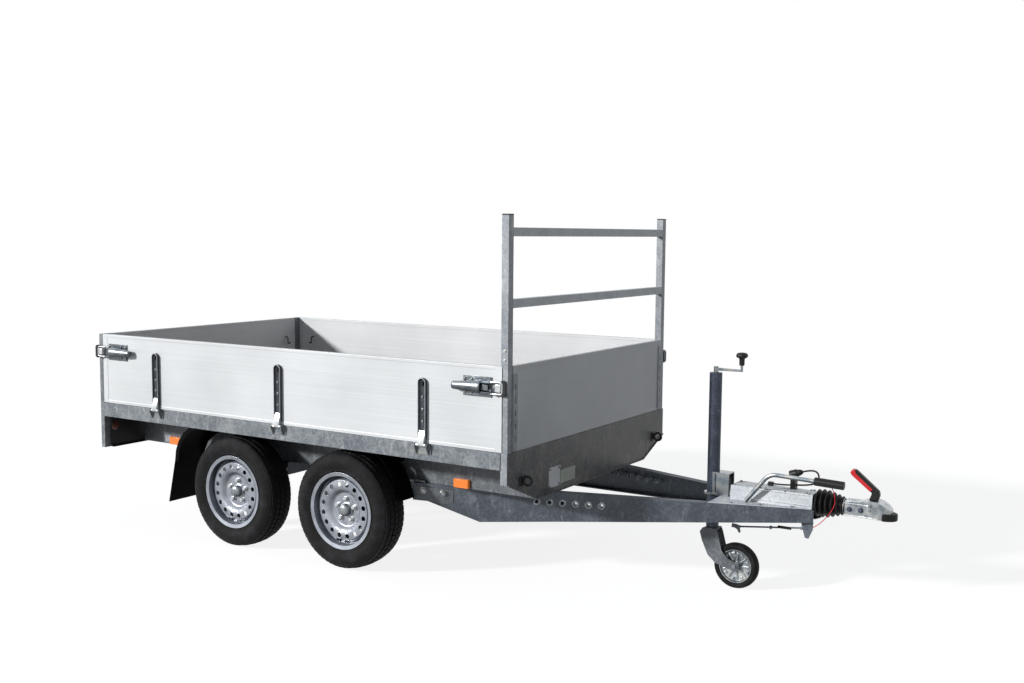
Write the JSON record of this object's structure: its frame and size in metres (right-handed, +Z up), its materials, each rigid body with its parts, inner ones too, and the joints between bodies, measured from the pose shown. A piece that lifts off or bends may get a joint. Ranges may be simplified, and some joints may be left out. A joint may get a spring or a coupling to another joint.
{
  "type": "twin-axle dropside utility trailer",
  "caption": "Twin-axle dropside utility trailer with aluminium sides, galvanised chassis, V drawbar, front ladder rack, overrun coupling and jockey wheel.",
  "frame": {"origin": "on the ground, at half the overall length, on the middle line", "axes": "+X forward to the coupling, +Y to the left side, +Z up"},
  "size_m": [4.346, 1.754, 1.77],
  "materials": {
    "aluminium": "natural anodised extrusion",
    "black_plastic": "black moulded plastic",
    "bright_zinc": "bright zinc plate",
    "galvanised": "hot-dip galvanised, dull spangle",
    "lamp_lens": "red lens",
    "marker_lens": "orange lens",
    "plywood": "film-faced brown plywood",
    "red_plastic": "red jacket",
    "rubber": "black rubber",
    "tyre": "black rubber",
    "wheel_paint": "silver wheel paint"
  },
  "bodies": {
    "chassis": {"axle_tubes": "galvanised", "brake_linkage": "bright_zinc", "breakaway_cable": "red_plastic", "coupling_handle": "black_plastic", "coupling_head": "bright_zinc", "coupling_nose": "rubber", "cross_members": "galvanised", "deck_panel": "plywood", "drawbar_arms": "galvanised", "drawbar_gaiter": "rubber", "electric_cable": "rubber", "electric_plug": "black_plastic", "front_panel": "galvanised", "front_wall": "aluminium", "handbrake_grip": "black_plastic", "handbrake_lever": "bright_zinc", "hinge_feet": "bright_zinc", "jockey_clamp": "bright_zinc", "lamp_board": "galvanised", "lashing_rings": "bright_zinc", "main_beams": "galvanised", "mudguards": "black_plastic", "overrun_housing": "bright_zinc", "plug_holder": "black_plastic", "rack_caps": "black_plastic", "rack_posts": "galvanised", "rack_rungs": "galvanised", "rear_lamps": "lamp_lens", "rear_posts": "galvanised", "rear_sill": "galvanised", "side_markers": "marker_lens", "side_rails": "galvanised", "swing_arms": "galvanised"},
    "side_left": {"side_panel_left": "aluminium", "side_hardware_left": "bright_zinc"},
    "side_right": {"side_panel_right": "aluminium", "side_hardware_right": "bright_zinc"},
    "tailgate": {"tailgate_panel": "aluminium", "tailgate_hardware": "bright_zinc"},
    "jockey_post": {"jockey_tube": "galvanised", "jockey_crank": "bright_zinc", "jockey_knob": "black_plastic"},
    "jockey_spindle": {"jockey_leg": "galvanised"},
    "jockey_caster": {"jockey_fork": "bright_zinc"},
    "jockey_wheel": {"jockey_rim": "bright_zinc", "jockey_tyre": "tyre"},
    "wheel_front_left": {"tyre_front_left": "tyre", "rim_front_left": "wheel_paint", "hub_front_left": "bright_zinc"},
    "wheel_front_right": {"tyre_front_right": "tyre", "rim_front_right": "wheel_paint", "hub_front_right": "bright_zinc"},
    "wheel_rear_left": {"tyre_rear_left": "tyre", "rim_rear_left": "wheel_paint", "hub_rear_left": "bright_zinc"},
    "wheel_rear_right": {"tyre_rear_right": "tyre", "rim_rear_right": "wheel_paint", "hub_rear_right": "bright_zinc"}
  },
  "joints": [
    {"name": "side_left_drop", "type": "hinge", "parent": "chassis", "child": "side_left", "pos_m": [-0.734, 0.845, 0.69], "axis": [-1, 0, 0], "range_deg": [0, 180]},
    {"name": "side_right_drop", "type": "hinge", "parent": "chassis", "child": "side_right", "pos_m": [-0.734, -0.845, 0.69], "axis": [1, 0, 0], "range_deg": [0, 180]},
    {"name": "tailgate_drop", "type": "hinge", "parent": "chassis", "child": "tailgate", "pos_m": [-2.141, 0, 0.69], "axis": [0, -1, 0], "range_deg": [0, 180]},
    {"name": "wheel_front_left_spin", "type": "hinge", "parent": "chassis", "child": "wheel_front_left", "pos_m": [-0.333, 0.7415, 0.298], "axis": [0, 1, 0], "continuous": true},
    {"name": "wheel_front_right_spin", "type": "hinge", "parent": "chassis", "child": "wheel_front_right", "pos_m": [-0.333, -0.7415, 0.298], "axis": [0, 1, 0], "continuous": true},
    {"name": "wheel_rear_left_spin", "type": "hinge", "parent": "chassis", "child": "wheel_rear_left", "pos_m": [-1.086, 0.7415, 0.298], "axis": [0, 1, 0], "continuous": true},
    {"name": "wheel_rear_right_spin", "type": "hinge", "parent": "chassis", "child": "wheel_rear_right", "pos_m": [-1.086, -0.7415, 0.298], "axis": [0, 1, 0], "continuous": true},
    {"name": "jockey_clamp_slide", "type": "slide", "parent": "chassis", "child": "jockey_post", "axis": [0, 0, 1], "range_m": [0, 0.14]},
    {"name": "jockey_wind", "type": "slide", "parent": "jockey_post", "child": "jockey_spindle", "axis": [0, 0, 1], "range_m": [-0.2, 0]},
    {"name": "jockey_swivel", "type": "hinge", "parent": "jockey_spindle", "child": "jockey_caster", "pos_m": [1.304, 0, 0.28], "axis": [0, 0, 1], "continuous": true},
    {"name": "jockey_wheel_spin", "type": "hinge", "parent": "jockey_caster", "child": "jockey_wheel", "pos_m": [1.433, 0, 0.11], "axis": [0, 1, 0], "continuous": true}
  ]
}
